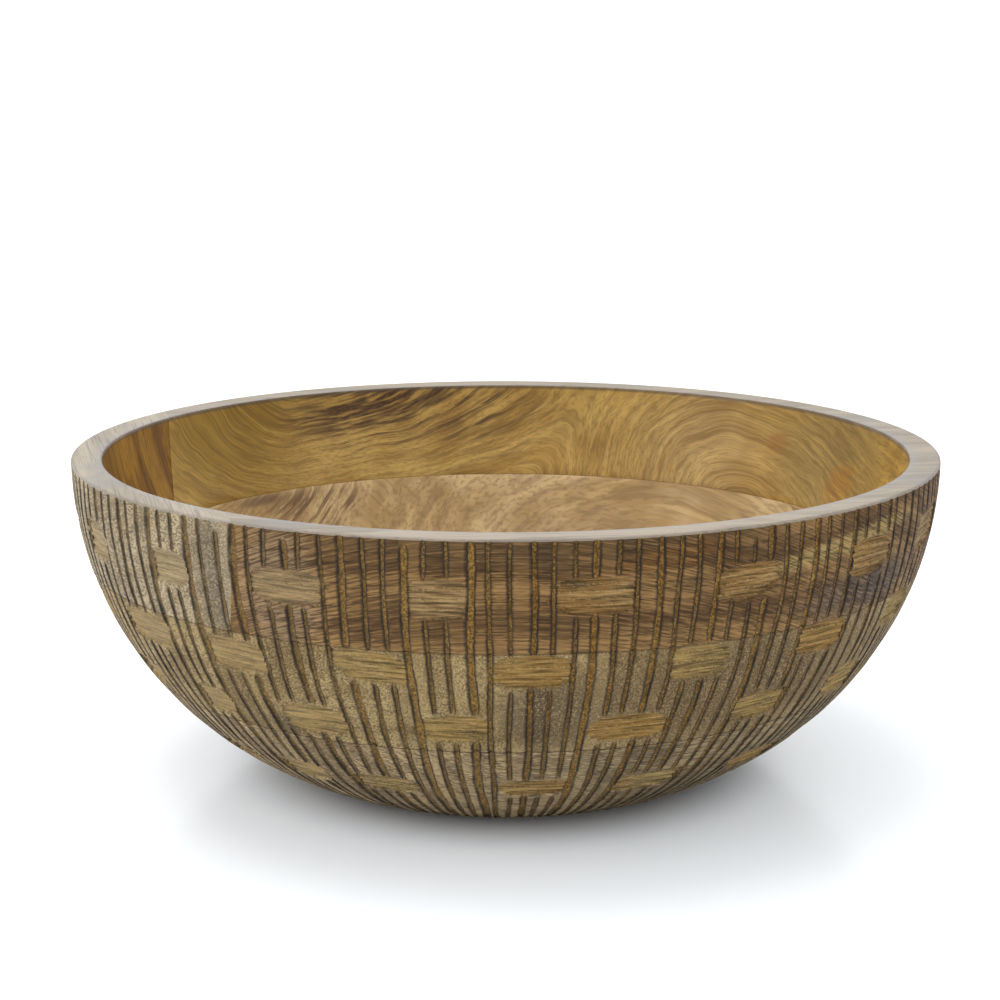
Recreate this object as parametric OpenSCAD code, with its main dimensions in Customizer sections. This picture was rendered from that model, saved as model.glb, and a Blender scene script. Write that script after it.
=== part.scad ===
// Carved wooden bowl, glued up from three layers of boards, turned and then
// carved on the outside with upright gouge lines and a basket of flat chip cuts.
// Millimetres, +Z up, origin in the middle of the flat base, on the table.

/* [Overall size] */
// Diameter across the rim
rim_d = 305; // [290:1:320]
// Height from the table to the rim
bowl_h = 114; // [108:1:120]
// Diameter of the flat base
base_d = 144; // [130:1:156]
// Width of the flat top of the rim
rim_w = 10.7; // [9:0.1:14]
// Thickness of the floor of the bowl
floor_t = 14; // [12:0.5:20]
// Bevel that takes the sharpness off both edges of the rim
rim_ease = 0.8; // [0.4:0.1:1.5]

/* [Boards] */
// Thickness of the boards in the top layer and in the middle layer
board_t = 36.25; // [34:0.25:38]
// How far the rows of boards are turned from front to back
layup_turn = 14; // [-30:1:30]
// Distance from the centre line to the joint in the top layer, on the left
top_joint = 111; // [100:1:125]
// Distance from the centre line to the joint in the middle layer, on the right
middle_joint = 125; // [100:1:126]
// Distance from the centre line to the joint in the base layer, on the left
base_joint = 8; // [-20:1:20]

/* [Carving] */
// Number of basket columns round the bowl
columns = 19; // [17:1:21]
// Width of the upright gouge lines that edge the columns
gouge_w = 1.6; // [1:0.1:2.5]
// Depth of the upright gouge lines
gouge_depth = 1.2; // [0.6:0.1:1.8]
// Depth of the flat chip cuts
chip_depth = 0.6; // [0.3:0.1:1]
// Height of the flat chip cuts, measured along the curve
chip_h = 12; // [9:0.5:13]
// Plain strip left under the rim, measured along the curve
rim_margin = 2; // [1:0.5:4]
// Where the first column starts, seen from above
column_start = -101.6; // [-180:0.1:180]

/* [Hidden] */
$fn = 180;

rim_r = rim_d / 2;
base_r = base_d / 2;

// Outside: one arc whose centre is level with the rim, from the rim to the base
overhang = rim_r - base_r;
outer_r = (bowl_h * bowl_h + overhang * overhang) / (2 * overhang);
outer_c = rim_r - outer_r;

// Inside: one arc whose centre is raised above the rim, so the wall leans out,
// running into a flat floor
lean = 12;
inner_r = bowl_h - floor_t + lean;
inner_c = rim_r - rim_w - sqrt(inner_r * inner_r - lean * lean);

// Heights of the two glue planes
middle_top = bowl_h - board_t;
base_top = bowl_h - 2 * board_t;

// Carving: rows of chip cuts, by the distance of their middles from the rim along the curve
chip_rows = [18.5, 43.5, 67.5, 102];
column_a = 360 / columns;
chip_a = column_a / 2 - 0.6;
reach = 4;              // how far the cutting shapes stand out of the wood
side_r = rim_r + reach; // larger than the bowl

function arc_angle(s) = s / outer_r * 180 / PI;

// Cross-section of the whole wall and floor
module wall_2d() {
    difference() {
        intersection() {
            translate([outer_c, bowl_h]) circle(outer_r);
            square([rim_r, bowl_h]);
        }
        translate([inner_c, bowl_h + lean]) circle(inner_r);
        translate([0, floor_t]) square([inner_c, bowl_h]);
        rim_bevels_2d();
    }
}

// The two small bevels along the edges of the rim
module rim_bevels_2d() {
    for (edge = [rim_r, rim_r - rim_w])
        translate([edge, bowl_h]) rotate(45) square(rim_ease * sqrt(2), center = true);
}

// Ring of wood between two heights
module layer(low, high) {
    rotate_extrude()
        intersection() {
            wall_2d();
            translate([0, low]) square([rim_r, high - low]);
        }
}

// Space that a row of boards takes from one joint to the next
module board_space(from, to) {
    rotate([0, 0, layup_turn])
        translate([from, -side_r, 0])
            cube([to - from, 2 * side_r, bowl_h]);
}

// Strip of the cross-section along the outside curve, from one distance below the rim to another
module skin_2d(from, to, depth) {
    translate([outer_c, bowl_h])
        difference() {
            intersection() {
                circle(outer_r + reach);
                polygon([
                    [0, 0],
                    2 * outer_r * [cos(arc_angle(from)), -sin(arc_angle(from))],
                    2 * outer_r * [cos(arc_angle(to)), -sin(arc_angle(to))]
                ]);
            }
            circle(outer_r - depth);
        }
}

// Upright gouge lines on both sides of every column, from under the rim to the base
module gouge_lines() {
    full_length = outer_r * PI / 2;
    for (i = [0 : 2 * columns - 1])
        rotate([0, 0, column_start + i * column_a / 2])
            rotate([90, 0, 0])
                linear_extrude(gouge_w, center = true)
                    skin_2d(rim_margin, full_length * 0.8, gouge_depth);
}

// One ring of flat chip cuts; every other row is shifted by half a column
module chip_row(row) {
    middle = chip_rows[row];
    shift = row % 2 == 0 ? 0 : column_a / 2;
    for (i = [0 : columns - 1])
        rotate([0, 0, column_start + shift + i * column_a + 0.3])
            rotate_extrude(angle = chip_a)
                skin_2d(middle - chip_h / 2, middle + chip_h / 2, chip_depth);
}

module top_board() {
    color("#8a6a4a")
        difference() {
            intersection() {
                layer(middle_top, bowl_h);
                board_space(-top_joint, side_r);
            }
            gouge_lines();
            chip_row(0);
        }
}

module top_edge_board() {
    color("#b3a283")
        difference() {
            intersection() {
                layer(middle_top, bowl_h);
                board_space(-side_r, -top_joint);
            }
            gouge_lines();
            chip_row(0);
        }
}

module middle_board() {
    color("#a8946f")
        difference() {
            intersection() {
                layer(base_top, middle_top);
                board_space(-side_r, middle_joint);
            }
            gouge_lines();
            chip_row(1);
            chip_row(2);
        }
}

module middle_edge_board() {
    color("#7d6657")
        difference() {
            intersection() {
                layer(base_top, middle_top);
                board_space(middle_joint, side_r);
            }
            gouge_lines();
            chip_row(1);
            chip_row(2);
        }
}

module base_board_left() {
    color("#9c8160")
        difference() {
            intersection() {
                layer(0, base_top);
                board_space(-side_r, -base_joint);
            }
            gouge_lines();
            chip_row(3);
        }
}

module base_board_right() {
    color("#b09a76")
        difference() {
            intersection() {
                layer(0, base_top);
                board_space(-base_joint, side_r);
            }
            gouge_lines();
            chip_row(3);
        }
}

top_board();
top_edge_board();
middle_board();
middle_edge_board();
base_board_left();
base_board_right();
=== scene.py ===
"""Carved wooden bowl: six glued boards, turned, lacquered inside and gouged all over outside."""
import math
from dataclasses import dataclass

import bmesh
import bpy
import numpy as np
from bpy.props import (FloatProperty, FloatVectorProperty, IntProperty,
                       PointerProperty)
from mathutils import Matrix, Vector


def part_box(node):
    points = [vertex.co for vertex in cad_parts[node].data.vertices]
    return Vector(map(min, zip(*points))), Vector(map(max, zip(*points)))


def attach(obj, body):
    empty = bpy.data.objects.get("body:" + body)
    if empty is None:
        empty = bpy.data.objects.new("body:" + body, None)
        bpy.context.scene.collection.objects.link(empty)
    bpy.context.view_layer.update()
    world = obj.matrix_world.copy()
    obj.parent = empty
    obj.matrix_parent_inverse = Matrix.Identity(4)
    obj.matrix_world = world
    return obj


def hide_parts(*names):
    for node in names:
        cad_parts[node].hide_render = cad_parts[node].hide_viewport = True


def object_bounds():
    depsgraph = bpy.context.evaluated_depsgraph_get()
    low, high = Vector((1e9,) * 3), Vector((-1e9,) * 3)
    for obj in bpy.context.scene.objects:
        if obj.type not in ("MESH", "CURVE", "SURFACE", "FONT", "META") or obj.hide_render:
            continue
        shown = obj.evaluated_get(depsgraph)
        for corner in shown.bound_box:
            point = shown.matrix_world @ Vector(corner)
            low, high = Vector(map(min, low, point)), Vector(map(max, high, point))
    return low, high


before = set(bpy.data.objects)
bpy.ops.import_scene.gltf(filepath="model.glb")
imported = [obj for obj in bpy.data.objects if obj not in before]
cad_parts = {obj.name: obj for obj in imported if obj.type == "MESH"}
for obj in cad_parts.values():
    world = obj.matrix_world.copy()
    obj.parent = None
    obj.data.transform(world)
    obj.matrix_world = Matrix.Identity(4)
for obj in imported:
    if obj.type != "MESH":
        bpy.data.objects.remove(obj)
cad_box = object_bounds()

bl_info = {
    "name": "Carved Wooden Bowl",
    "version": (1, 0, 0),
    "blender": (4, 5, 0),
    "location": "3D View > Sidebar > Carved Bowl",
    "description": "Makes a glued-up wooden bowl with a basket of gouge lines carved outside",
    "category": "Add Mesh",
}

MM = 0.001
FULL_TURN = 2 * math.pi

# -------- sizes that a user would change


def length(name, description, default):
    return FloatProperty(name=name, description=description, default=default, unit="LENGTH")


def angle(name, description, degrees):
    return FloatProperty(name=name, description=description, default=math.radians(degrees),
                         subtype="ANGLE")


def tone(name, description, default):
    return FloatVectorProperty(name=name, description=description, default=default, subtype="COLOR")


class BowlShape(bpy.types.PropertyGroup):
    """Turned shape of the bowl and the places of its joints"""
    rim_radius: length("Rim radius", "From the axis to the outer edge of the rim",
                       (cad_box[1].x - cad_box[0].x) / 2)
    height: length("Height", "From the table to the top of the rim", cad_box[1].z)
    base_radius: length("Base radius", "Radius of the flat base", 0.072)
    rim_width: length("Rim width", "Width of the flat top of the rim", 0.0107)
    floor: length("Floor", "Thickness of the floor of the bowl", 0.014)
    lean: length("Lean", "How far above the rim the centre of the inside curve lies", 0.012)
    layup_turn: angle("Lay-up turn", "How far the rows of boards are turned from front to back", 14)
    top_joint: length("Top joint", "Upright joint of the top layer, from the axis", -0.111)
    middle_joint: length("Middle joint", "Upright joint of the middle layer, from the axis", 0.125)
    base_joint: length("Base joint", "Upright joint of the base layer, from the axis", -0.008)


class BowlCarving(bpy.types.PropertyGroup):
    """Gouge lines and flat chips cut into the outside"""
    lines: IntProperty(
        name="Lines", description="Number of upright gouge lines round the bowl", default=152, min=24)
    bold_width: length("Bold width", "Width of every third line, which is cut bolder", 0.0022)
    fine_width: length("Fine width", "Width of the lines between", 0.0013)
    bold_depth: length("Bold depth", "Depth of the bold lines", 0.0013)
    fine_depth: length("Fine depth", "Depth of the fine lines", 0.00085)
    chip_height: length("Chip height", "Height of the flat chips", 0.0122)
    chip_depth: length("Chip depth", "Depth of the flat chips", 0.0013)
    seed: IntProperty(name="Seed", description="Picks the unevenness of the hand work", default=7)


class BowlColours(bpy.types.PropertyGroup):
    """Colours of the finishes that all boards share"""
    gouge: tone("Gouge floor", "Torn, oiled wood in the gouge lines", (0.28, 0.158, 0.038))
    # painted shade: this colour darkens the walls of the gouge lines and a soft band of land beside
    # them, partly as scorching and partly as the shade that falls there; it also dims the floors of the
    # fine lines
    gouge_scorch_and_shade: tone("Gouge edge", "Scorched edges of the gouge lines", (0.022, 0.017, 0.013))
    rim: tone("Rim", "Pale sanded wood on top of the rim", (0.315, 0.27, 0.208))


class BowlStage(bpy.types.PropertyGroup):
    """Floor, light and camera"""
    camera_distance: length("Camera distance", "From the middle of the rim to the camera", 0.7853)
    camera_height: angle("Camera height", "Angle of the camera above the rim", 10.32)
    camera_pitch: angle("Camera pitch", "How far the camera looks down", 11.75)
    lens: FloatProperty(name="Lens", description="Focal length in millimetres", default=79.2)
    daylight: FloatProperty(
        name="Daylight", description="Strength of the even white surroundings", default=1.1)
    top_light: FloatProperty(
        name="Top light", description="Power of the broad light above, in watts", default=7.0)
    side_light: FloatProperty(
        name="Side light", description="Power of the soft light at the left, in watts", default=4.5)


# -------- turned shape, in millimetres


class Turning:
    """The two arcs of the turned bowl and the heights of its layers, in millimetres."""

    def __init__(self):
        shape = bpy.context.scene.bowl_shape
        self.rim = shape.rim_radius / MM
        self.height = shape.height / MM
        self.base = shape.base_radius / MM
        overhang = self.rim - self.base
        self.outer_r = (self.height ** 2 + overhang ** 2) / (2 * overhang)
        self.outer_c = self.rim - self.outer_r
        self.lean = shape.lean / MM
        self.inner_r = self.height - shape.floor / MM + self.lean
        self.mouth = self.rim - shape.rim_width / MM
        self.inner_c = self.mouth - math.sqrt(self.inner_r ** 2 - self.lean ** 2)
        self.middle_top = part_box("top_board")[0].z / MM
        self.base_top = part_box("middle_board")[0].z / MM

    def reach(self, z):
        """Distance from the rim to a height, measured down the outside curve."""
        return self.outer_r * math.asin((self.height - z) / self.outer_r)

    def outside(self, s, cut=0.0):
        """Radius and height on the outside, s below the rim along the curve and cut into the wood."""
        angle = s / self.outer_r
        r = self.outer_r - cut
        return self.outer_c + r * np.cos(angle), self.height - r * np.sin(angle)

    def inside(self, z):
        """Radius of the inside at a height."""
        drop = self.height + self.lean - z
        return self.inner_c + math.sqrt(max(self.inner_r ** 2 - drop ** 2, 0.0))


# -------- carving

# Flat chips lie between gouge lines. The carver did not keep even steps, so each row gives the
# pairs of lines round the front; the rest of the row follows in even steps of about eight lines.
CHIP_ROWS = (
    (18.5, ((-23, -20), (-15, -12), (-8, -4), (0, 3.1), (7, 11), (15.1, 18.3), (24, 27.4))),
    (43.6, ((-20, -15.1), (-12, -8), (-4, -0.1), (4, 8), (13, 16.4), (21.2, 25.2), (29.5, 33.4))),
    (67.4, ((-23, -20), (-15, -12), (-8.3, -4), (0.1, 4), (9.3, 13.9), (18, 22.2), (26.2, 30))),
    (101.8, ((-19, -15.5), (-12.2, -8), (-6, -1.2), (4.1, 8.9), (12.2, 17.1), (21.8, 27))),
)
CHIP_STEP = 8
LINE_STARTS = 0.3       # mm below the rim
LINE_ZERO = -11.4       # degrees from the front of the line numbered 0
SWAY = 0.4              # degrees; the lines crowd and spread three times round the bowl
COLUMNS_PER_LINE = 11   # mesh columns from one line to the next
COARSE = 4              # mesh columns outside for each one inside
CHIP_REACH = 8          # mm of close mesh rows above and below the middle of a row of chips
CLOSE_STEP = 0.62       # mm between mesh rows where chips are cut
LOOSE_STEP = 1.15       # mm between mesh rows elsewhere
BY_JOINT = 0.3          # mm from a glue joint to the next mesh row
SOLE = 1.0              # mm above the table where the carving ends
OUTER_EASE = 0.8        # mm; rounding of the outer edge of the rim
INNER_EASE = 1.3        # mm; rounding of its inner edge
FLOOR_STEPS = 26        # mesh rows up the curve of the base layer inside


def smooth_step(x):
    """Rises softly from 0 to 1 as x does."""
    x = np.clip(x, 0.0, 1.0)
    return x * x * (3 - 2 * x)


def sway(angle):
    """How far a line moves sideways from its even place, as an angle."""
    return math.radians(SWAY) * np.sin(3 * (angle + math.radians(8)))


class Carving:
    """Where every gouge line and chip lies. Angles are from the front, positive to the right."""

    def __init__(self, bowl):
        c = bpy.context.scene.bowl_carving
        self.t = bowl
        self.n = c.lines
        self.pitch = FULL_TURN / self.n
        self.chip_h = c.chip_height / MM
        self.chip_d = c.chip_depth / MM
        rng = np.random.default_rng(c.seed)
        self.first = -self.n // 2
        index = np.arange(self.n) + self.first
        even = math.radians(LINE_ZERO) + index * self.pitch
        self.angle = even + sway(even) - sway(math.radians(LINE_ZERO))
        self.angle = self.angle + rng.normal(0, 0.07, self.n) * self.pitch
        bold = index % 3 == 0
        self.width = np.where(bold, c.bold_width, c.fine_width) / MM * rng.uniform(0.85, 1.15, self.n)
        self.depth = np.where(bold, c.bold_depth, c.fine_depth) / MM * rng.uniform(0.85, 1.15, self.n)
        self.bold = bold.astype(float)
        self.wander = [(rng.uniform(0, FULL_TURN), rng.uniform(38, 70), rng.uniform(0.15, 0.4))
                       for _ in range(self.n)]
        self.tone = rng.normal(0, 1, self.n)
        self.chips = self._place_chips(rng)
        self.cuts = self._line_cuts(index, rng)

    def _place_chips(self, rng):
        chips = []
        for depth, pairs in CHIP_ROWS:
            row = [((a + b) / 2, (b - a) / 2) for a, b in pairs]
            gap = self.n + row[0][0] - row[-1][0]
            steps = round(gap / CHIP_STEP)
            for _ in range(1, steps):
                row.append((row[-1][0] + gap / steps, 2 + rng.uniform(-0.15, 0.2)))
            for middle, half in row:
                chips.append({
                    "line": middle, "half": half, "low": depth,
                    "tilt": rng.normal(0.01, 0.06), "rise": rng.normal(0, 0.5),
                    "tall": rng.uniform(0.92, 1.08), "deep": rng.uniform(0.85, 1.15),
                    "strokes": int(rng.integers(4, 6)), "phase": rng.uniform(0, 1),
                    "ends": rng.uniform(-1.2, 2.2, (2, 6)), "dips": rng.uniform(-0.12, 0.12, 6),
                })
        for chip in chips:
            where = (chip["line"] - self.first) % self.n
            base = int(where)
            nxt = (base + 1) % self.n
            a0 = self.angle[base]
            a1 = self.angle[nxt] + (FULL_TURN if nxt < base else 0)
            chip["angle"] = a0 + (a1 - a0) * (where - base)
            chip["s"] = chip["low"] + chip["rise"] - math.sin(chip["angle"])
        return chips

    def _line_cuts(self, index, rng):
        """For every line, the stretches that are cut: chips interrupt the lines that they cover."""
        end = self.t.reach(0) + 6
        cuts = []
        for i in index:
            stops = []
            for chip in self.chips:
                off = (i - chip["line"] + self.n / 2) % self.n - self.n / 2
                if abs(off) < chip["half"] - 0.25:
                    half = self.chip_h * chip["tall"] / 2
                    stops.append((chip["s"] - half, chip["s"] + half))
            start = LINE_STARTS + (rng.uniform(1, 3) if rng.random() < 0.1 else 0.0)
            spans = []
            for low, high in sorted(stops):
                spans.append((start, low + rng.uniform(0.2, 1.8), rng.uniform(-0.25, 0.25)))
                start = high - rng.uniform(0.2, 1.2)
            spans.append((start, end, rng.uniform(-0.25, 0.25)))
            cuts.append(spans)
        return cuts

    def line_strength(self, s):
        """How fully each line is cut (lines by rows), and how far it strays sideways in mm."""
        cut = np.zeros((self.n, len(s)))
        stray = np.zeros((self.n, len(s)))
        for i, spans in enumerate(self.cuts):
            phase, length, size = self.wander[i]
            stray[i] = size * np.sin(FULL_TURN * s / length + phase)
            taper = 3.6 if self.bold[i] else 4.6
            for start, end, side in spans:
                blunt = 0.45 if start <= LINE_STARTS else 0.15
                here = smooth_step((s - start) / taper + blunt) * smooth_step((end - s) / taper + 0.1)
                here = here * (s > start) * (s < end)
                stray[i] += np.where(here > cut[i], side, 0)
                cut[i] = np.maximum(cut[i], here)
        return cut, stray

    def chip_cut(self, angle, s, radius):
        """Depth of the flat chips, and how far each point is chip and the edge of a tool stroke, where
        the carved finish paints a highlight.
        """
        depth = np.zeros_like(angle)
        mask = np.zeros_like(angle)
        lip = np.zeros_like(angle)
        for chip in self.chips:
            half_h = self.chip_h * chip["tall"] / 2
            rows = np.where(np.abs(s - chip["s"]) < half_h + 3)[0]
            if len(rows) == 0:
                continue
            r = radius[rows][:, None]
            off = (angle[rows] - chip["angle"] + math.pi) % FULL_TURN - math.pi
            half_w = chip["half"] * self.pitch * r + 0.4
            across = off * r
            ragged = (0.4 * np.sin(across * 1.3 + chip["phase"] * 9)
                      + 0.25 * np.sin(across * 3.7 + chip["phase"] * 31))
            down = s[rows][:, None] - chip["s"] - across * chip["tilt"]
            v = (down + 0.5 * ragged) / half_h * (1 + 0.16 * (across / half_w) ** 2)
            stroke = np.clip((v * 0.5 + 0.5) * chip["strokes"], 0, chip["strokes"] - 0.001)
            number = stroke.astype(int)
            q = stroke - number - 0.5
            rounding = 1.1 * (2 * q) ** 2 + (3.4 + 3.0 * chip["phase"]) * v ** 4 + 0.4 * np.abs(ragged)
            to_right = half_w + chip["ends"][0][number] - rounding - across
            to_left = half_w + chip["ends"][1][number] - rounding + across
            inside = smooth_step(to_right / 0.7) * smooth_step(to_left / 0.7)
            inside = inside * smooth_step((1.03 - np.abs(v)) / 0.14)
            groove = 0.62 + 0.5 * (1 - 4 * q * q) + chip["dips"][number]
            scoop = 0.7 + 0.3 * (1 - np.clip(across / half_w, -1, 1) ** 2)
            here = self.chip_d * chip["deep"] * inside * groove * scoop
            depth[rows] = np.maximum(depth[rows], here)
            mask[rows] = np.maximum(mask[rows], inside)
            lip[rows] = np.maximum(lip[rows], inside * smooth_step((np.abs(q) - 0.3) / 0.15))
        return depth, mask, lip


# -------- mesh of one layer


def spaced(low, high, step):
    """Evenly spaced values between two ends, both ends left out."""
    count = max(int(round((high - low) / step)), 1)
    return [low + (high - low) * k / count for k in range(1, count)]


def outside_rows(low, high):
    """Distances down the outside curve for the mesh rows of a layer: close where chips are cut."""
    rows = [low]
    while rows[-1] < high:
        close = any(abs(rows[-1] - depth) < CHIP_REACH for depth, _ in CHIP_ROWS)
        rows.append(rows[-1] + (CLOSE_STEP if close else LOOSE_STEP))
    return np.array([r for r in rows if r < high - 0.5] + [high])


# What each point of the mesh tells the carved finish, from 0 to 1 except the tone: gouge floor, gouge
# edge (darkened partly by scorching and partly as painted shade), flat chip, raised edge of a tool
# stroke (painted lighter as a highlight), bold line, and how pale or dark the line's land is
MARKS = ("gouge", "edge", "chip", "lip", "bold", "tone")


class LayerMesh:
    """Collects rings of points and the strips between them."""

    def __init__(self):
        self.points = []
        self.count = 0
        self.faces = []
        self.kinds = []
        self.layers = {name: [] for name in MARKS}

    def ring(self, radius, angle, z, **marks):
        """Adds one ring and returns its first point's number and its length."""
        n = len(angle)
        radius = np.broadcast_to(radius, n)
        z = np.broadcast_to(z, n)
        self.points.append(np.stack([radius * np.sin(angle), -radius * np.cos(angle), z], 1))
        for name, values in self.layers.items():
            values.append(np.broadcast_to(marks.get(name, 0.0), n))
        first = self.count
        self.count += n
        return first, n

    def strip(self, a, b, kind):
        """Faces between two rings; either may hold COARSE times as many points as the other."""
        (fa, na), (fb, nb) = a, b
        if na >= nb:
            each = na // nb
            for i in range(nb):
                fine = [fa + (i * each + k) % na for k in range(each + 1)]
                self.faces.append((*fine, fb + (i + 1) % nb, fb + i))
        else:
            each = nb // na
            for i in range(na):
                fine = [fb + (i * each + k) % nb for k in range(each + 1)]
                self.faces.append((fa + i, fa + (i + 1) % na, *reversed(fine)))
        self.kinds += [kind] * (min(na, nb))

    def cap(self, ring, z, kind, up):
        """Closes a ring with a fan to a point on the axis."""
        first, n = ring
        centre, _ = self.ring(0.0, np.zeros(1), z)
        for i in range(n):
            face = (first + i, first + (i + 1) % n, centre)
            self.faces.append(face if up else face[::-1])
        self.kinds += [kind] * n

    def mesh(self, name):
        """The collected points and faces as a mesh, with the marks as point attributes."""
        mesh = bpy.data.meshes.new(name)
        mesh.from_pydata(np.concatenate(self.points).tolist(), [], self.faces)
        mesh.polygons.foreach_set("material_index", np.array(self.kinds, np.int32))
        for key, values in self.layers.items():
            layer = mesh.attributes.new(key, "FLOAT", "POINT")
            layer.data.foreach_set("value", np.concatenate(values).astype(np.float32))
        return mesh


CARVED, LACQUERED, SANDED = 0, 1, 2
HAIRLINE = 0.35   # mm; a shallow open line marks every glue joint
SHARP_EDGE = math.radians(42)


def carved_rings(layer, bowl, carving, s, low_z, high_z):
    """Rings of the carved outside from top to bottom; the ends stay on the layer's flat faces."""
    n, k = carving.n, COLUMNS_PER_LINE
    cut, stray = carving.line_strength(s)
    radius, _ = bowl.outside(s)
    pitch_mm = carving.pitch * radius
    width = np.minimum(carving.width[:, None] * (0.45 + 0.55 * cut), 0.62 * pitch_mm[None])
    rng = np.random.default_rng(carving.n + int(low_z))
    width = width * (1 + 0.12 * np.sin(s[None] / 3.1 + rng.uniform(0, FULL_TURN, (n, 1))))
    width = width + cut * rng.normal(0, 0.09, width.shape)
    stray = stray + cut * rng.normal(0, 0.05, stray.shape)
    centre = carving.angle[:, None] + stray / radius[None]
    half = width / 2 / radius[None]
    lip = 0.22 / radius[None]
    left = centre - half - lip
    right = centre + half + lip
    following = np.roll(left, -1, axis=0)
    following[-1] += FULL_TURN
    land = following - right
    across = [left, *(centre + half * part for part in (-1, -0.55, 0, 0.55, 1)), right]
    across += [right + land * part for part in (0.15, 0.38, 0.62, 0.85)]
    angle = np.stack(across, 1).reshape(n * k, len(s)).T
    profile = np.array([0, 0.15, 0.84, 1, 0.84, 0.15, 0, 0, 0, 0, 0])
    floor = np.array([0, 0.05, 0.85, 1, 0.85, 0.05, 0, 0, 0, 0, 0])
    # painted shade: these edge marks darken the groove walls and a soft band of land on each side of a
    # line, partly as scorching and partly as the shade that falls there
    edges = np.array([0.65, 1, 0.5, 0, 0.3, 1, 0.5, 0.12, 0, 0, 0.18])
    shoulder = np.array([0.12, 0, 0, 0, 0, 0, 0.12, 0.05, 0, 0, 0.05])

    def over_columns(values, shape):
        return (values[:, None, :] * shape[None, :, None]).reshape(n * k, len(s)).T

    uneven = 0.88 + 0.12 * np.sin(s[None] / 2.3 + rng.uniform(0, FULL_TURN, (n, 1)))
    depth = over_columns(cut * carving.depth[:, None] * uneven, profile)
    gouge = over_columns(np.minimum(cut * 1.6, 1), floor)
    edge = over_columns(np.minimum(cut * 1.4, 1), edges)
    bold = over_columns(cut * carving.bold[:, None], np.ones(k))
    tone = over_columns(np.repeat(carving.tone[:, None], len(s), 1), np.ones(k))
    chip_depth, chip, chip_lip_highlight = carving.chip_cut(angle, s, radius)
    depth = np.maximum(depth, chip_depth)
    land = 1 - np.maximum(gouge, chip)
    depth = depth + land * over_columns(cut, shoulder)
    planed = np.sin(np.round(angle / carving.pitch) * 1.7 + s[:, None] * 0.21)
    depth = depth + land * (0.05 + 0.04 * planed)
    torn = rng.normal(0, 1, depth.shape)
    depth = depth + torn * (0.10 * gouge + 0.035 * chip)
    rings = []
    for j, row in enumerate(s):
        at_joint = j in (0, len(s) - 1) and row > 2
        cut_row = depth[j] + (HAIRLINE * 0.5 if at_joint else 0)
        r, z = bowl.outside(row, cut_row)
        if at_joint:
            z = low_z if j else high_z
            r = bowl.outer_c + np.sqrt((bowl.outer_r - cut_row) ** 2 - (bowl.height - z) ** 2)
        rings.append(layer.ring(r, angle[j], z, gouge=gouge[j], edge=edge[j], chip=chip[j],
                                lip=chip_lip_highlight[j], bold=bold[j], tone=tone[j]))
    return rings, angle


def inside_rings(layer, bowl, angle, low, high, step=2.4):
    """Coarser rings of the smooth inside, from low to high."""
    first, last = low + BY_JOINT, high - BY_JOINT
    levels = [low, first, *spaced(first, last, step), last, high]
    rings = []
    for k, z in enumerate(levels):
        at_joint = k in (0, len(levels) - 1) and z < bowl.height - 2
        notch = HAIRLINE * 0.4 if at_joint else 0
        rings.append(layer.ring(bowl.inside(z) + notch, angle, z))
    return rings


def join_all(layer, rings, kind):
    """Faces between each ring and the next."""
    for a, b in zip(rings, rings[1:]):
        layer.strip(a, b, kind)


def top_layer(bowl, carving):
    layer = LayerMesh()
    end = bowl.reach(bowl.middle_top)
    s = np.append(outside_rows(OUTER_EASE, end - BY_JOINT), end)
    outer, angle = carved_rings(layer, bowl, carving, s, bowl.middle_top, bowl.height)
    fine = angle[0]
    coarse = fine[::COARSE]
    edge = []
    for a in (90, 60, 30):
        a = math.radians(a)
        edge.append(layer.ring(bowl.rim - OUTER_EASE * (1 - math.cos(a)),
                               fine, bowl.height - OUTER_EASE * (1 - math.sin(a))))
    join_all(layer, edge + [outer[0]], SANDED)
    join_all(layer, outer, CARVED)
    inner = inside_rings(layer, bowl, coarse, bowl.middle_top, bowl.height - INNER_EASE)
    layer.strip(outer[-1], inner[0], CARVED)
    join_all(layer, inner, LACQUERED)
    lip = []
    low_r = bowl.inside(bowl.height - INNER_EASE)
    for a in (25, 50, 75, 90):
        a = math.radians(a)
        lip.append(layer.ring(low_r + INNER_EASE * (1 - math.cos(a)),
                              coarse, bowl.height - INNER_EASE * (1 - math.sin(a))))
    layer.strip(inner[-1], lip[0], LACQUERED)
    join_all(layer, lip[:2], LACQUERED)
    join_all(layer, lip[1:], SANDED)
    flat = layer.ring(bowl.rim - 3, coarse, bowl.height)
    layer.strip(lip[-1], flat, SANDED)
    layer.strip(flat, edge[0], SANDED)
    return layer


def middle_layer(bowl, carving):
    layer = LayerMesh()
    start, end = bowl.reach(bowl.middle_top), bowl.reach(bowl.base_top)
    s = np.concatenate([[start], outside_rows(start + BY_JOINT, end - BY_JOINT), [end]])
    outer, angle = carved_rings(layer, bowl, carving, s, bowl.base_top, bowl.middle_top)
    coarse = angle[0][::COARSE]
    join_all(layer, outer, CARVED)
    inner = inside_rings(layer, bowl, coarse, bowl.base_top, bowl.middle_top)
    layer.strip(outer[-1], inner[0], CARVED)
    join_all(layer, inner, LACQUERED)
    layer.strip(inner[-1], outer[0], CARVED)
    return layer


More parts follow.
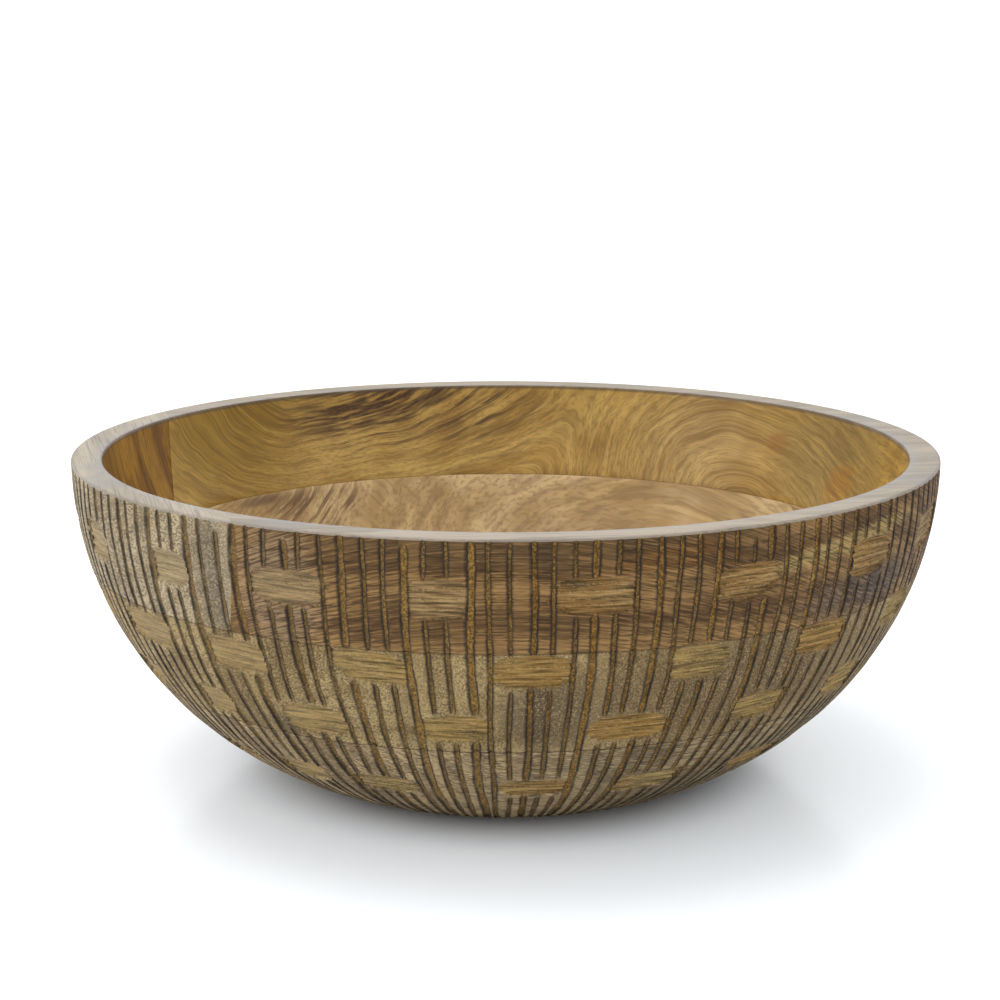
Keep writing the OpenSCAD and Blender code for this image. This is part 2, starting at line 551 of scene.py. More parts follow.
def base_layer(bowl, carving):
    layer = LayerMesh()
    start, end = bowl.reach(bowl.base_top), bowl.reach(SOLE)
    s = np.concatenate([[start], outside_rows(start + BY_JOINT, end)])
    outer, angle = carved_rings(layer, bowl, carving, s, SOLE, bowl.base_top)
    fine = angle[-1]
    coarse = fine[::COARSE]
    top_coarse = angle[0][::COARSE]
    join_all(layer, outer, CARVED)
    sole = [layer.ring(bowl.base - drop, fine, z) for drop, z in ((0.4, 0.3), (1.2, 0.0))]
    join_all(layer, [outer[-1]] + sole, CARVED)
    under = [layer.ring(r, coarse, 0.0) for r in (bowl.base - 5, 50.0, 30.0, 12.0)]
    layer.strip(sole[-1], under[0], SANDED)
    join_all(layer, under, SANDED)
    layer.cap(under[-1], 0.0, SANDED, up=True)
    floor_z = bowl.height + bowl.lean - bowl.inner_r
    radii = [8.0, 16.0, 24.0, bowl.inner_c]
    floor = [layer.ring(r, top_coarse, floor_z) for r in radii]
    layer.cap(floor[0], floor_z, LACQUERED, up=False)
    join_all(layer, floor, LACQUERED)
    curve = []
    last = math.acos((bowl.height + bowl.lean - bowl.base_top) / bowl.inner_r)
    for k in range(1, FLOOR_STEPS + 1):
        a = last * k / FLOOR_STEPS
        r = bowl.inner_c + bowl.inner_r * math.sin(a)
        z = bowl.height + bowl.lean - bowl.inner_r * math.cos(a)
        curve.append(layer.ring(r + (HAIRLINE * 0.4 if k == FLOOR_STEPS else 0), top_coarse, z))
    layer.strip(floor[-1], curve[0], LACQUERED)
    join_all(layer, curve, LACQUERED)
    layer.strip(curve[-1], outer[0], CARVED)
    return layer


def saw(mesh, joint, keep_right):
    """Cuts a layer along its upright joint, keeps one side and closes the sawn faces."""
    shape = bpy.context.scene.bowl_shape
    across = Vector((math.cos(shape.layup_turn), math.sin(shape.layup_turn), 0))
    point = across * getattr(shape, joint) / MM
    bm = bmesh.new()
    bm.from_mesh(mesh)
    everything = bm.verts[:] + bm.edges[:] + bm.faces[:]
    bmesh.ops.bisect_plane(bm, geom=everything, dist=1e-5, plane_co=point, plane_no=across,
                           clear_inner=keep_right, clear_outer=not keep_right)
    bmesh.ops.holes_fill(bm, edges=[e for e in bm.edges if e.is_boundary], sides=0)
    bmesh.ops.recalc_face_normals(bm, faces=bm.faces)
    open_edges = sum(1 for e in bm.edges if not e.is_manifold)
    bm.to_mesh(mesh)
    bm.free()
    if open_edges:
        raise RuntimeError(f"{mesh.name} has {open_edges} open edges after the saw cut")


def add_object(name, data):
    """A new object in the scene."""
    thing = bpy.data.objects.new(name, data)
    bpy.context.scene.collection.objects.link(thing)
    return thing


def make_board(node, build, joint, keep_right):
    """Builds one board from its layer, gives it its finishes and puts it in the CAD board's place."""
    wood = WOODS[node]
    materials = (carved_finish(wood), lacquered_finish(wood), sanded_finish(wood))
    bowl = Turning()
    mesh = build(bowl, Carving(bowl)).mesh(node + "_carved")
    saw(mesh, joint, keep_right)
    mesh.transform(((MM, 0, 0, 0), (0, MM, 0, 0), (0, 0, MM, 0), (0, 0, 0, 1)))
    mesh.polygons.foreach_set("use_smooth", np.ones(len(mesh.polygons), bool))
    mesh.set_sharp_from_angle(angle=SHARP_EDGE)
    for material in materials:
        mesh.materials.append(material)
    board = add_object(node + "_carved", mesh)
    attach(board, "root")
    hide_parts(node)


# -------- materials


class Net:
    """Short ways to add and link shader nodes."""

    def __init__(self, name):
        self.material = bpy.data.materials.new(name)
        self.material.use_nodes = True
        self.nodes = self.material.node_tree.nodes
        self.links = self.material.node_tree.links
        self.nodes.clear()

    def add(self, kind, inputs=(), **settings):
        node = self.nodes.new("ShaderNode" + kind)
        for key, value in settings.items():
            setattr(node, key, value)
        for key, value in dict(inputs).items():
            self.plug(node.inputs[key], value)
        return node

    def plug(self, socket, value):
        if isinstance(value, bpy.types.NodeSocket):
            self.links.new(value, socket)
        elif isinstance(value, (tuple, list)) and socket.type == "RGBA" and len(value) == 3:
            socket.default_value = (*value, 1)
        else:
            socket.default_value = value

    def math(self, operation, a, b=0.0):
        return self.add("Math", {0: a, 1: b}, operation=operation).outputs[0]

    def plus(self, a, b):
        return self.math("ADD", a, b)

    def minus(self, a, b):
        return self.math("SUBTRACT", a, b)

    def times(self, a, b):
        return self.math("MULTIPLY", a, b)

    def spread(self, value, low, high, to_low=0.0, to_high=1.0):
        """Smoothly carries a range of values over to another."""
        return self.add("MapRange", {"Value": value, "From Min": low, "From Max": high,
                                     "To Min": to_low, "To Max": to_high},
                        interpolation_type="SMOOTHSTEP").outputs[0]

    def mix(self, factor, a, b):
        node = self.add("Mix", data_type="RGBA")
        node.clamp_factor = True
        self.plug(node.inputs["Factor"], factor)
        self.plug(node.inputs[6], a)
        self.plug(node.inputs[7], b)
        return node.outputs[2]

    def tint(self, colour, tone, value, *limits):
        """Mixes a tone into a colour as a value goes from the first limit to the second."""
        return self.mix(self.spread(value, *limits), colour, tone)

    def vector(self, operation, a, b=(0, 0, 0)):
        node = self.add("VectorMath", {0: a, 1: b}, operation=operation)
        return node.outputs["Value" if operation == "LENGTH" else "Vector"]

    def in_mm(self, place, axis):
        """One coordinate of a place in millimetres."""
        return self.times(self.add("SeparateXYZ", {0: place}).outputs[axis], 1 / MM)

    def from_axis(self, place):
        """Distance from the axis of the bowl in millimetres."""
        return self.vector("LENGTH", self.vector("MULTIPLY", place, (1 / MM, 1 / MM, 0)))

    def place(self, vector, location=(0, 0, 0), rotation=(0, 0, 0), scale=(1, 1, 1), kind="POINT"):
        return self.add("Mapping", {"Vector": vector, "Location": location, "Rotation": rotation,
                                    "Scale": scale}, vector_type=kind).outputs[0]

    def noise(self, vector, scale=1.0, detail=3.0, roughness=0.55, output=0):
        return self.add("TexNoise", {"Vector": vector, "Scale": scale, "Detail": detail,
                                     "Roughness": roughness}).outputs[output]

    def drift(self, vector, size, scale, **settings):
        """A smooth random shift of up to half of size each way."""
        cloud = self.noise(vector, scale, output="Color", **settings)
        return self.vector("MULTIPLY", self.vector("SUBTRACT", cloud, (0.5, 0.5, 0.5)), size)

    def bands(self, w, detail=3.0, roughness=0.6):
        """Uneven bands along one number, such as growth rings."""
        return self.add("TexNoise", {"W": w, "Scale": 1.0, "Detail": detail, "Roughness": roughness},
                        noise_dimensions="1D").outputs[0]

    def attribute(self, name):
        """A mark of the mesh."""
        return self.add("Attribute", attribute_name=name, attribute_type="GEOMETRY").outputs["Fac"]


def shade(colour, factor):
    """A colour made darker or lighter."""
    return tuple(min(c * factor, 1) for c in colour)


@dataclass
class Wood:
    """How one board grew and was sawn. Lengths in millimetres, angles in degrees."""
    name: str                # for the names of its materials
    grain: float             # direction of the grain seen from above
    outside: tuple           # light wood, dark wood and the darkest streaks on the dry outside
    inside: tuple            # the same under lacquer
    pith: tuple = (40, -60)  # heart of the tree, across the grain and up
    ring: float = 9          # spacing of the growth rings
    warp: float = 8          # how wildly the grain wanders
    fleck: float = 0.5       # how strongly pores and short fibres show
    streaks: float = 0.5     # how strongly the fine dark streaks show
    bold: float = 0.5        # contrast of the growth rings
    fibre: tuple = (0.12, 1.7)  # how close fibres lie, along and across the grain, per millimetre
    bow: float = 0           # radius of the arch that the fibres follow outside, 0 for straight ones
    chip: tuple = (0.30, 0.205, 0.085)  # fresh wood in the flat chips
    hearts: tuple = ()       # (x, height, left, right, up) of curls that the rings inside run round
    turn: float = 3          # how far the curls are turned from the left-right direction
    stains: tuple = ()       # (colour, strength, angle, depth, half width, half height, tilt)
    inside_stains: tuple = ()
    streaky: tuple = ()      # where dark streaks gather inside: angle, depth, half sizes, tilt


CURL_SIZE = 24.0    # mm from the heart of a curl to its outline
CURL_BLEND = 10.0   # mm over which neighbouring curls run together
ALONG_GRAIN = 0.04  # how much slower wood changes along the grain than across it
PATCH_DEPTH = 40    # mm that a stain reaches into and out of the wall


def growth(net, wood, local):
    """Distance from the heart of the tree in millimetres, bent the way the grain wanders."""
    lazy = net.place(local, scale=(0.35, 1, 1))
    swirl = net.drift(lazy, (0, wood.warp * 8, wood.warp * 8), 0.013, detail=2.0, roughness=0.5)
    ripple = net.drift(lazy, (0, 7, 7), 0.09)
    bent = net.vector("ADD", net.vector("ADD", local, swirl), ripple)
    heart = net.vector("SUBTRACT", bent, (0.0, wood.pith[0], wood.pith[1]))
    return net.vector("LENGTH", net.vector("MULTIPLY", heart, (ALONG_GRAIN, 1, 1)))


def curls(net, wood, place):
    """Distance round the curls of a board seen from inside the bowl, in millimetres."""
    mm = net.vector("MULTIPLY", place, (1 / MM,) * 3)
    drift = net.drift(mm, (12, 0, 7), 0.022, detail=2.0)
    ripple = net.drift(mm, (2.4, 0, 1.6), 0.07, roughness=0.5)
    xyz = net.add("SeparateXYZ", {0: net.vector("ADD", net.vector("ADD", mm, drift), ripple)}).outputs
    turn = math.radians(wood.turn)
    sideways = net.plus(net.times(xyz["X"], math.cos(turn)), net.times(xyz["Y"], math.sin(turn)))
    field = None
    for x, height, left, right, up in wood.hearts:
        aside = net.minus(sideways, x)
        wide = net.plus(net.times(net.math("MAXIMUM", aside, 0.0), 1 / right),
                        net.times(net.math("MINIMUM", aside, 0.0), 1 / left))
        high = net.times(net.minus(xyz["Z"], height), 1 / up)
        round_it = net.math("SQRT", net.plus(net.times(wide, wide), net.times(high, high)))
        round_it = net.times(round_it, CURL_SIZE)
        if field is None:
            field = round_it
        else:
            both = net.add("Math", {0: field, 1: round_it, 2: CURL_BLEND}, operation="SMOOTH_MIN")
            field = both.outputs[0]
    along = net.times(net.plus(net.plus(xyz["X"], xyz["Y"]), xyz["Z"]), ALONG_GRAIN)
    return field, net.add("CombineXYZ", {0: field, 1: along}).outputs[0]


def arched(net, wood, place):
    """Coordinates in millimetres that run with the wall and arch over the front of the bowl."""
    xyz = net.add("SeparateXYZ", {0: net.vector("MULTIPLY", place, (1 / MM,) * 3)}).outputs
    out = net.from_axis(place)
    arch = net.times(net.times(xyz["X"], xyz["X"]), 0.5 / wood.bow)
    return net.add("CombineXYZ", {0: xyz["X"], 1: out, 2: net.plus(xyz["Z"], arch)}).outputs[0]


def patch(net, place, angle, depth, wide, tall, tilt, ragged):
    """1 inside an oval patch of the wall, 0 outside; sizes are half widths in millimetres."""
    a = math.radians(angle)
    r, z = Turning().outside(depth)
    spot = net.place(place, location=(r * math.sin(a) * MM, -r * math.cos(a) * MM, z * MM),
                     rotation=(0, math.radians(tilt), a),
                     scale=(wide * MM, PATCH_DEPTH * MM, tall * MM), kind="TEXTURE")
    far = net.vector("LENGTH", spot)
    far = net.plus(far, net.times(net.minus(ragged, 0.5), 0.9))
    return net.spread(far, 0.45, 1.15, 1.0, 0.0)


def board_figure(net, wood, tones, stains, curled=False):
    """Colour and fibres of solid wood, the same on every face that is cut through it."""
    place = net.add("TexCoord").outputs["Object"]
    local = net.place(place, rotation=(0, 0, -math.radians(wood.grain)), scale=(1 / MM,) * 3)
    light, dark, streak = tones
    if curled:
        radius, flow = curls(net, wood, place)
        fibres = net.noise(net.place(flow, scale=(1.2, 1.0, 1.0)), detail=2.5, roughness=0.6)
        hairs = net.noise(net.place(flow, scale=(3.2, 6.0, 1.0)), detail=1.0)
    else:
        radius = growth(net, wood, local)
        along, across = wood.fibre
        flow = arched(net, wood, place) if wood.bow else local
        fibres = net.noise(net.place(flow, scale=(along, across, across)), detail=2.5, roughness=0.62)
        hairs = net.noise(net.place(flow, scale=(along * 2, across * 1.9, across * 1.9)), detail=2.0)
    rings = net.bands(net.times(radius, 1 / wood.ring), detail=4.0)
    thin = net.bands(net.times(radius, (3.7 if curled else 7.0) / wood.ring), roughness=0.7)
    cloud = net.noise(local, scale=0.035)
    mixed = net.plus(net.times(rings, wood.bold), net.times(cloud, 1 - wood.bold))
    colour = net.tint(light, dark, mixed, 0.4, 0.58)
    for tone, strength, *where in stains:
        spot = patch(net, place, *where, fibres)
        colour = net.mix(net.times(spot, strength), colour, tone)
    flecks = net.spread(fibres, 0.49, 0.62)
    broken = net.spread(fibres, 0.36, 0.56, 0.25, 1.0)
    lines = net.times(net.times(net.spread(thin, 0.49, 0.6), broken), wood.streaks)
    if curled and wood.streaky:
        here = patch(net, place, *wood.streaky, cloud)
        close = net.times(net.spread(thin, 0.46, 0.57), 0.85)
        gathered = net.times(net.math("MAXIMUM", net.spread(rings, 0.46, 0.57), close), broken)
        lines = net.math("MAXIMUM", net.times(lines, net.spread(here, 0, 1, 0.3, 1.0)),
                         net.times(net.times(gathered, here), 0.95))
    colour = net.mix(lines, colour, streak)
    fleck = wood.fleck * (0.5 if curled else 1.0)
    colour = net.mix(net.times(flecks, fleck), colour, streak)
    colour = net.tint(colour, shade(light, 1.45), fibres, 0.47, 0.33, 0.0, fleck * 0.8)
    colour = net.tint(colour, shade(dark, 0.6), hairs, 0.5, 0.62, 0.0, fleck * (1.5 if curled else 0.7))
    return place, colour, flecks, fibres, local, rings


def glue_line(net, place, width=0.22):
    """1 close to a level glue joint, 0 elsewhere."""
    bowl = Turning()
    z = net.in_mm(place, "Z")
    lines = []
    for level in (bowl.middle_top, bowl.base_top):
        gap = net.math("ABSOLUTE", net.minus(z, level))
        lines.append(net.spread(gap, 0.0, width * 2, 1.0, 0.0))
    return net.math("MAXIMUM", lines[0], lines[1])


def surface(net, colour, roughness, height, strength, distance, **finish):
    """Joins a colour and a fine relief into one material."""
    bump = net.add("Bump", {"Strength": strength, "Distance": distance, "Height": height}).outputs[0]
    shader = net.add("BsdfPrincipled", {"Base Color": colour, "Roughness": roughness, "Normal": bump,
                                        **finish})
    net.add("OutputMaterial", {"Surface": shader.outputs[0]})
    return net.material


# Tones that the finishes mix in
ORANGE_CHIP = (0.26, 0.125, 0.022)
DULL_CHIP = (0.30, 0.225, 0.125)
ORANGE_GOUGE = (0.29, 0.145, 0.028)
SHEEN_GREY_GOUGE = (0.165, 0.115, 0.055)
DRY_GLUE = (0.03, 0.02, 0.012)
LACQUERED_GLUE = (0.08, 0.045, 0.02)
RIM_SHADOW = (0.05, 0.034, 0.022)
RIM_BACK = (0.24, 0.19, 0.115)
RIM_INNER_EDGE = (0.24, 0.242, 0.255)
RIM_OUTER_EDGE = (0.16, 0.13, 0.10)
RIM_HAIRS = (0.10, 0.085, 0.075)
RIM_SMUDGES = (0.185, 0.18, 0.172)


def carved_finish(wood):
    """Dry outside: bare wood between lines with torn golden floors; the edges of the lines are darkened
    partly by scorching and partly as painted shade, the raised edges of the chip strokes get a painted
    highlight, and the gouge floors turn greyer towards the left as painted sheen.
    """
    tones = bpy.context.scene.bowl_colours
    net = Net(wood.name + "_carved_outside")
    place, colour, flecks, fibres, *_ = board_figure(net, wood, wood.outside, wood.stains)
    gouge, edge, chip, lip, bold, tone = map(net.attribute, MARKS)
    colour = net.tint(colour, shade(wood.outside[1], 0.6), tone, 0.0, 1.8, 0.0, 0.3)
    colour = net.tint(colour, shade(wood.outside[0], 1.2), tone, 0.0, -1.8, 0.0, 0.22)
    fuzz = net.noise(place, scale=1300, roughness=0.7)
    blotch = net.noise(place, scale=90, detail=2.0)
    region = net.noise(place, scale=17, detail=2.0)
    tracks = net.noise(net.place(place, scale=(70, 70, 1500)), roughness=0.65)
    side = net.in_mm(place, "X")
    orange = net.times(net.spread(region, 0.48, 0.6), net.spread(side, -80, 30, 0.1, 1.0))
    fresh = net.tint(wood.chip, colour, blotch, 0.35, 0.65, 0.1, 0.55)
    fresh = net.mix(net.times(orange, 0.55), fresh, ORANGE_CHIP)
    fresh = net.tint(fresh, shade(wood.chip, 0.25), tracks, 0.47, 0.62, 0.0, 0.85)
    fresh = net.tint(fresh, shade(wood.chip, 1.6), tracks, 0.46, 0.34, 0.0, 0.6)
    # painted highlight: the raised edges of the tool strokes in the chips are painted lighter, speckled
    # by the fuzz noise
    fresh = net.mix(net.times(lip, net.spread(fuzz, 0.4, 0.6, 0.0, 0.55)), fresh, shade(wood.chip, 1.8))
    fresh = net.tint(fresh, DULL_CHIP, side, -20, -110, 0.0, 0.45)
    colour = net.tint(colour, fresh, chip, 0.2, 0.8)
    # painted shade: the dark gouge colour goes on the edge marks, standing partly for scorching and
    # partly for the shade along the lines
    scorch_and_shade = net.times(net.spread(edge, 0.1, 0.8), net.spread(blotch, 0.3, 0.6, 0.65, 1.0))
    colour = net.mix(net.times(scorch_and_shade, 0.93), colour, tuple(tones.gouge_scorch_and_shade))
    gold = net.mix(orange, tuple(tones.gouge), ORANGE_GOUGE)
    gold = net.tint(gold, shade(tones.gouge, 0.3), fuzz, 0.45, 0.58, 0.0, 0.85)
    gold = net.tint(gold, shade(tones.gouge, 1.75), fuzz, 0.45, 0.34, 0.0, 0.7)
    gold = net.tint(gold, colour, blotch, 0.45, 0.7, 0.0, 0.4)
    gold = net.mix(net.times(net.minus(1.0, bold), 0.18), gold, tuple(tones.gouge_scorch_and_shade))
    # painted sheen: the gouge floors turn greyer from the front towards the left, standing in for the
    # grey reflection of the white surroundings at a grazing view
    gold = net.tint(gold, SHEEN_GREY_GOUGE, side, 0, -110, 0.05, 0.5)
    colour = net.tint(colour, gold, gouge, 0.35, 0.9, 0.0, 0.95)
    colour = net.mix(net.times(glue_line(net, place), 0.45), colour, DRY_GLUE)
    height = net.plus(net.times(fibres, 0.5), net.times(flecks, -0.35))
    height = net.plus(height, net.times(net.times(fuzz, gouge), 1.6))
    height = net.plus(height, net.times(net.times(tracks, chip), 1.8))
    rough = net.spread(fuzz, 0.3, 0.7, 0.55, 0.78)
    return surface(net, colour, rough, height, 0.8, 0.0005, **{"Specular IOR Level": 0.13})


def lacquered_finish(wood):
    """Satin lacquer inside, with the pores half filled."""
    net = Net(wood.name + "_lacquered_inside")
    place, colour, flecks, fibres, *_ = board_figure(net, wood, wood.inside, wood.inside_stains, True)
    colour = net.mix(net.times(glue_line(net, place, 0.15), 0.4), colour, LACQUERED_GLUE)
    level = net.in_mm(place, "Z")
    top = Turning().height
    colour = net.tint(colour, RIM_SHADOW, level, top - 2.0, top - 1.0, 0.0, 0.75)
    height = net.plus(net.times(fibres, 0.4), net.times(flecks, -0.6))
    rough = net.spread(flecks, 0.0, 1.0, 0.34, 0.5)
    return surface(net, colour, rough, height, 0.25, 0.0002,
                   **{"Specular IOR Level": 0.28, "Coat Weight": 0.12, "Coat Roughness": 0.3})


def sanded_finish(wood):
    """Rim: sanded through the stain to pale, slightly grey wood with hair-thin dark lines."""
    tones = bpy.context.scene.bowl_colours
    net = Net(wood.name + "_sanded_rim")
    place, colour, flecks, fibres, local, rings = board_figure(net, wood, wood.outside, ())
    bowl = Turning()
    pale = net.tint(tuple(tones.rim), shade(tones.rim, 0.7), rings, 0.38, 0.6, 0.0, 0.9)
    back = net.in_mm(place, "Y")
    pale = net.tint(pale, RIM_BACK, back, 60, 140, 0.0, 0.55)
    out = net.from_axis(place)
    pale = net.tint(pale, RIM_INNER_EDGE, out, bowl.mouth + 4.5, bowl.mouth + 0.8, 0.0, 0.5)
    pale = net.tint(pale, RIM_OUTER_EDGE, out, bowl.rim - 1.4, bowl.rim - 0.3, 0.0, 0.45)
    colour = net.mix(0.86, colour, pale)
    hair = net.noise(net.place(local, scale=(0.03, 1.6, 1.6)), detail=2.0)
    colour = net.tint(colour, RIM_HAIRS, hair, 0.55, 0.66, 0.0, 0.6)
    smudge = net.noise(place, scale=38)
    colour = net.tint(colour, RIM_SMUDGES, smudge, 0.52, 0.68, 0.0, 0.5)
    height = net.plus(net.times(fibres, 0.4), net.times(flecks, -0.4))
    return surface(net, colour, 0.5, height, 0.25, 0.0002, **{"Specular IOR Level": 0.45})


WOODS = {
    "top_board": Wood(
        "brown_wood", grain=6, pith=(-165, -60), ring=10, warp=5, fleck=0.55, streaks=0.55, bold=0.6,
        fibre=(0.05, 1.7), bow=170, chip=(0.26, 0.172, 0.075),
        outside=((0.25, 0.143, 0.052), (0.11, 0.057, 0.02), (0.017, 0.010, 0.006)),
        inside=((0.43, 0.275, 0.068), (0.275, 0.152, 0.024), (0.038, 0.014, 0.003)),
        hearts=((-78, 126, 36, 85, 35), (99, 70, 46, 46, 50)),
        stains=(
            ((0.33, 0.24, 0.090), 0.9, 45, 11, 44, 3.8, -6),
            ((0.070, 0.062, 0.06), 0.75, 50, 28, 36, 9, -4),
            ((0.050, 0.028, 0.013), 0.75, 4, 1, 95, 9, 1),
            ((0.22, 0.095, 0.02), 0.5, 19, 7, 24, 4, -8),
            ((0.34, 0.235, 0.14), 0.6, -27, 20, 16, 24, 0),
        ),
        inside_stains=(
            ((0.25, 0.142, 0.006), 0.75, -128, 16, 46, 36, 0),
            ((0.27, 0.10, 0.012), 0.7, 129, 15, 8, 5, 20),
            ((0.215, 0.140, 0.038), 0.75, 114, 14, 46, 36, 0),
            ((0.30, 0.14, 0.014), 0.8, 111, 24, 13, 9, 20),
        ),
        streaky=(-165, 10, 100, 21, -5)),
    "top_edge_board": Wood(
        "pale_speckled_wood", grain=104, pith=(-30, -90), ring=9, warp=6, fleck=0.6, streaks=0.3,
        chip=(0.33, 0.245, 0.125),
        outside=((0.39, 0.305, 0.185), (0.25, 0.188, 0.11), (0.050, 0.038, 0.026)),
        inside=((0.33, 0.17, 0.02), (0.15, 0.066, 0.007), (0.035, 0.013, 0.003)),
        stains=(((0.15, 0.125, 0.085), 0.7, -35.5, 16, 9, 26, 0),),
        hearts=((-90, 60, 24, 24, 900),), turn=90),
    "middle_board": Wood(
        "speckled_wood", grain=104, pith=(60, -40), ring=12, warp=7, fleck=0.6, streaks=0.25, bold=0.45,
        chip=(0.285, 0.19, 0.066),
        outside=((0.34, 0.245, 0.112), (0.205, 0.138, 0.058), (0.038, 0.026, 0.014)),
        inside=((0.46, 0.32, 0.15), (0.31, 0.19, 0.066), (0.085, 0.036, 0.012)),
        hearts=((-130, 96, 60, 60, 45), (75, -25, 110, 80, 110)),
        stains=(
            ((0.130, 0.082, 0.04), 0.75, 34, 56, 74, 24, 0),
            ((0.058, 0.042, 0.028), 0.8, 6, 60, 19, 17, 0),
            ((0.032, 0.030, 0.03), 0.8, -32, 72, 7, 5, 10),
        ),
        inside_stains=(
            ((0.06, 0.028, 0.008), 0.7, -132, 39, 18, 2.5, 0),
        ),
        streaky=(-143, 46, 36, 10, 0)),
    "middle_edge_board": Wood(
        "plum_wood", grain=104, pith=(-60, -30), ring=13, warp=7, fleck=0.6, streaks=0.3,
        outside=((0.175, 0.125, 0.085), (0.10, 0.070, 0.048), (0.030, 0.022, 0.017)),
        inside=((0.38, 0.25, 0.10), (0.27, 0.165, 0.055), (0.085, 0.036, 0.012)),
        hearts=((110, 60, 60, 60, 60),)),
    "base_board_left": Wood(
        "tan_wood", grain=14, pith=(40, 60), ring=8, warp=5, fleck=0.7, streaks=0.45,
        chip=(0.28, 0.195, 0.078),
        outside=((0.40, 0.29, 0.15), (0.215, 0.15, 0.078), (0.040, 0.028, 0.018)),
        inside=((0.40, 0.27, 0.11), (0.28, 0.175, 0.065), (0.085, 0.036, 0.012)),
        hearts=((-60, 20, 70, 70, 50),)),
    "base_board_right": Wood(
        "light_wood", grain=30, pith=(-20, 70), ring=11, warp=6, fleck=0.7, streaks=0.3,
        chip=(0.28, 0.195, 0.078),
        outside=((0.30, 0.22, 0.112), (0.165, 0.118, 0.06), (0.040, 0.028, 0.016)),
        inside=((0.42, 0.29, 0.12), (0.30, 0.19, 0.07), (0.09, 0.04, 0.014)),
        hearts=((60, 10, 70, 70, 50),)),
}


# -------- operators


class MESH_OT_bowl_top_board(bpy.types.Operator):
    """Makes the wide board of the top layer, with most of the rim"""
    bl_idname = "mesh.bowl_top_board"
    bl_label = "Top Board"

    def execute(self, context):
        make_board("top_board", top_layer, "top_joint", True)
        return {"FINISHED"}


class MESH_OT_bowl_top_edge_board(bpy.types.Operator):
    """Makes the narrow board at the left of the top layer"""
    bl_idname = "mesh.bowl_top_edge_board"
    bl_label = "Top Edge Board"

    def execute(self, context):
        make_board("top_edge_board", top_layer, "top_joint", False)
        return {"FINISHED"}


class MESH_OT_bowl_middle_board(bpy.types.Operator):
    """Makes the wide board of the middle layer"""
    bl_idname = "mesh.bowl_middle_board"
    bl_label = "Middle Board"

    def execute(self, context):
        make_board("middle_board", middle_layer, "middle_joint", False)
        return {"FINISHED"}


class MESH_OT_bowl_middle_edge_board(bpy.types.Operator):
    """Makes the narrow board at the right of the middle layer"""
    bl_idname = "mesh.bowl_middle_edge_board"
    bl_label = "Middle Edge Board"

    def execute(self, context):
        make_board("middle_edge_board", middle_layer, "middle_joint", True)
        return {"FINISHED"}


class MESH_OT_bowl_base_boards(bpy.types.Operator):
    """Makes the two boards of the base layer, with the floor of the bowl"""
    bl_idname = "mesh.bowl_base_boards"
    bl_label = "Base Boards"

    def execute(self, context):
        make_board("base_board_left", base_layer, "base_joint", False)
        make_board("base_board_right", base_layer, "base_joint", True)
        return {"FINISHED"}


class SCENE_OT_bowl_stage(bpy.types.Operator):
    """Makes the pale floor, the soft light and the camera"""
    bl_idname = "scene.bowl_stage"
    bl_label = "Stage"

    def execute(self, context):
        stage = context.scene.bowl_stage
        add_floor()
        add_daylight(stage.daylight)
        add_light("top_light", stage.top_light, (-0.15, 0.1, 1.1))
        add_light("side_light", stage.side_light, (-1.25, -0.45, 0.55))
        add_camera(stage, context.scene.bowl_shape)
        context.scene.view_settings.view_transform = "Standard"
        return {"FINISHED"}


BOWL_MIDDLE = Vector((0, 0, 0.06))  # where the lamps point
LAMP_WIDTH = 0.9
FLOOR_RADIUS = 6.0
CAMERA_ASIDE = math.radians(0.146)  # the camera looks a hair to the left
SHADE_FROM, SHADE_TO = 74, 108      # mm from the axis; the glow of the floor fades in between
FLOOR_GLOW = 0.24


def add_floor():
    """A wide pale floor that glows faintly, except close to the foot, so the shadow there stays."""
    mesh = bpy.data.meshes.new("floor")
    bm = bmesh.new()
    bmesh.ops.create_circle(bm, cap_ends=True, radius=FLOOR_RADIUS, segments=96)
    bm.to_mesh(mesh)
    bm.free()
    net = Net("pale_floor")
    out = net.from_axis(net.add("TexCoord").outputs["Object"])
    glow = net.spread(out, SHADE_FROM, SHADE_TO, 0.0, FLOOR_GLOW)
    shader = net.add("BsdfPrincipled", {"Base Color": (0.89, 0.92, 0.96), "Roughness": 0.2,
                                        "Specular IOR Level": 0.35, "Emission Strength": glow,
                                        "Emission Color": (0.85, 0.93, 1.0)})
    net.add("OutputMaterial", {"Surface": shader.outputs[0]})
    mesh.materials.append(net.material)
    add_object("floor", mesh)


def add_daylight(strength):
    """Even white surroundings."""
    world = bpy.data.worlds.new("soft_daylight")
    world.use_nodes = True
    background = world.node_tree.nodes["Background"]
    background.inputs["Color"].default_value = (1, 1, 1, 1)
    background.inputs["Strength"].default_value = strength
    bpy.context.scene.world = world


def add_light(name, power, location):
    """A broad soft lamp that points at the bowl."""
    lamp = bpy.data.lights.new(name, "AREA")
    lamp.shape = "DISK"
    lamp.size = LAMP_WIDTH
    lamp.energy = power
    light = add_object(name, lamp)
    light.location = location
    light.rotation_euler = (BOWL_MIDDLE - light.location).to_track_quat("-Z", "Y").to_euler()


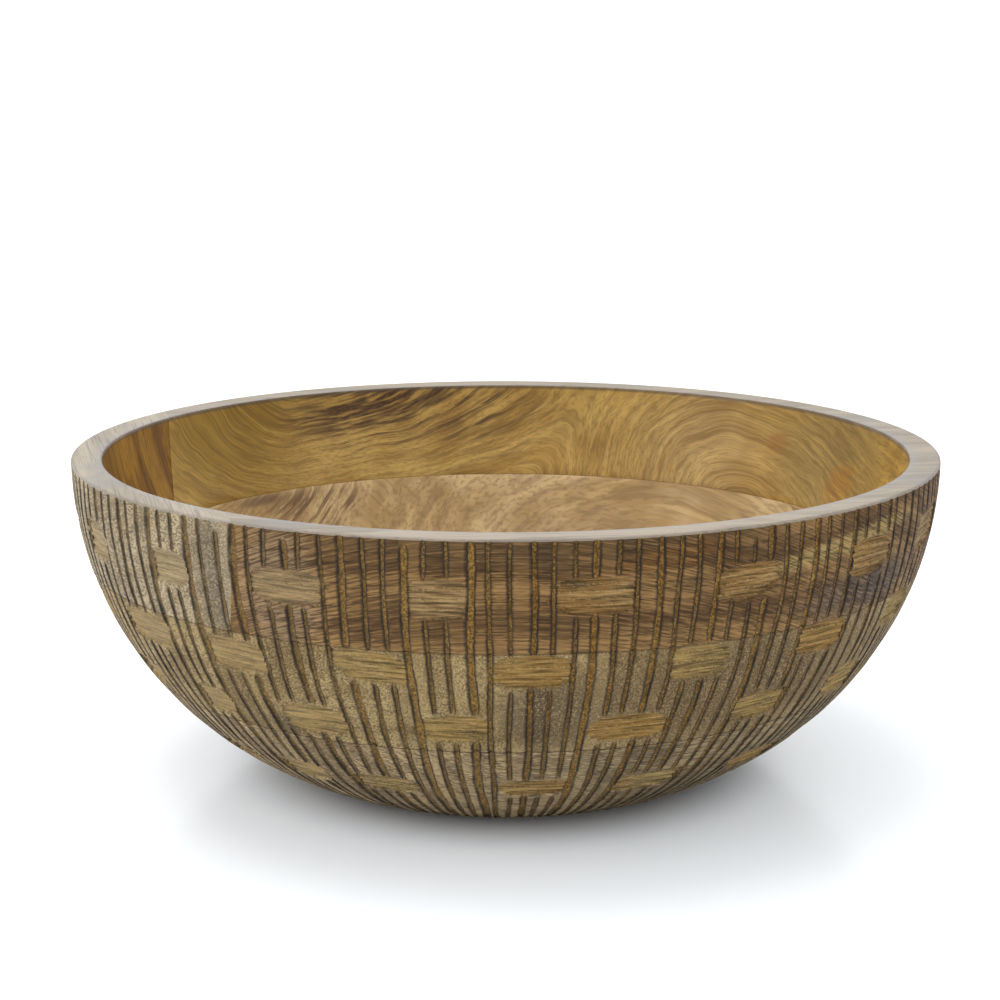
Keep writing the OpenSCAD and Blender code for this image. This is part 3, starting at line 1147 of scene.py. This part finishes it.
def add_camera(stage, shape):
    """The camera in front of the bowl, a little above the rim."""
    lens = bpy.data.cameras.new("camera")
    lens.lens = stage.lens
    lens.sensor_width = 36
    lens.clip_start = 0.01
    camera = add_object("camera", lens)
    back = stage.camera_distance * math.cos(stage.camera_height)
    up = stage.camera_distance * math.sin(stage.camera_height)
    camera.location = (0, -back, shape.height + up)
    camera.rotation_euler = (math.radians(90) - stage.camera_pitch, 0, CAMERA_ASIDE)
    bpy.context.scene.camera = camera


# -------- panel and registration


class VIEW3D_PT_bowl(bpy.types.Panel):
    """Sidebar panel that lists the steps of making the bowl"""
    bl_label = "Carved Bowl"
    bl_idname = "VIEW3D_PT_bowl"
    bl_space_type = "VIEW_3D"
    bl_region_type = "UI"
    bl_category = "Carved Bowl"

    def draw(self, context):
        for group in ("bowl_shape", "bowl_carving", "bowl_colours", "bowl_stage"):
            box = self.layout.box()
            settings = getattr(context.scene, group)
            for name in settings.__annotations__:
                box.prop(settings, name)
        for step in STEPS:
            self.layout.operator(step.bl_idname)


GROUPS = {
    "bowl_shape": BowlShape,
    "bowl_carving": BowlCarving,
    "bowl_colours": BowlColours,
    "bowl_stage": BowlStage,
}
STEPS = (
    MESH_OT_bowl_top_board,
    MESH_OT_bowl_top_edge_board,
    MESH_OT_bowl_middle_board,
    MESH_OT_bowl_middle_edge_board,
    MESH_OT_bowl_base_boards,
    SCENE_OT_bowl_stage,
)


def register():
    for cls in (*GROUPS.values(), *STEPS, VIEW3D_PT_bowl):
        bpy.utils.register_class(cls)
    for name, group in GROUPS.items():
        setattr(bpy.types.Scene, name, PointerProperty(type=group))


def unregister():
    for name in GROUPS:
        delattr(bpy.types.Scene, name)
    for cls in reversed((*GROUPS.values(), *STEPS, VIEW3D_PT_bowl)):
        bpy.utils.unregister_class(cls)


def main():
    register()
    bpy.ops.mesh.bowl_top_board()
    bpy.ops.mesh.bowl_top_edge_board()
    bpy.ops.mesh.bowl_middle_board()
    bpy.ops.mesh.bowl_middle_edge_board()
    bpy.ops.mesh.bowl_base_boards()
    bpy.ops.scene.bowl_stage()


if __name__ == "__main__":
    main()
